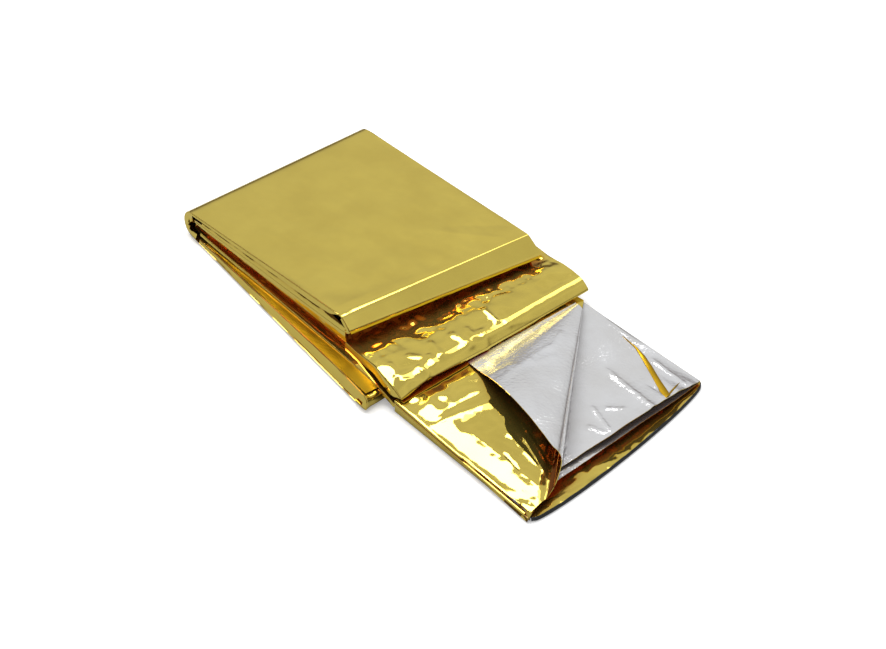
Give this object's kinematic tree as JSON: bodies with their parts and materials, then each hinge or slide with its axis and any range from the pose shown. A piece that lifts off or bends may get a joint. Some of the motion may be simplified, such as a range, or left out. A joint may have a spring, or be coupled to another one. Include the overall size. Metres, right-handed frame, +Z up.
{
  "type": "emergency foil blanket",
  "caption": "Gold and silver metallised film rescue blanket, half unpacked: a strip folded to and fro in fanned tiers, with the open end's top ply turned back.",
  "frame": {"origin": "on the surface it lies on, under the middle of the whole blanket's box", "axes": "+X the way the strip runs out to its open end, +Y across the strip to its far edge, +Z up"},
  "size_m": [0.4622, 0.23, 0.0424],
  "materials": {
    "gold_film": "vacuum-metallised film, mirror bright: gold on the outer side, silver on the inner side"
  },
  "bodies": {
    "root": {"blanket": "gold_film"}
  },
  "joints": []
}
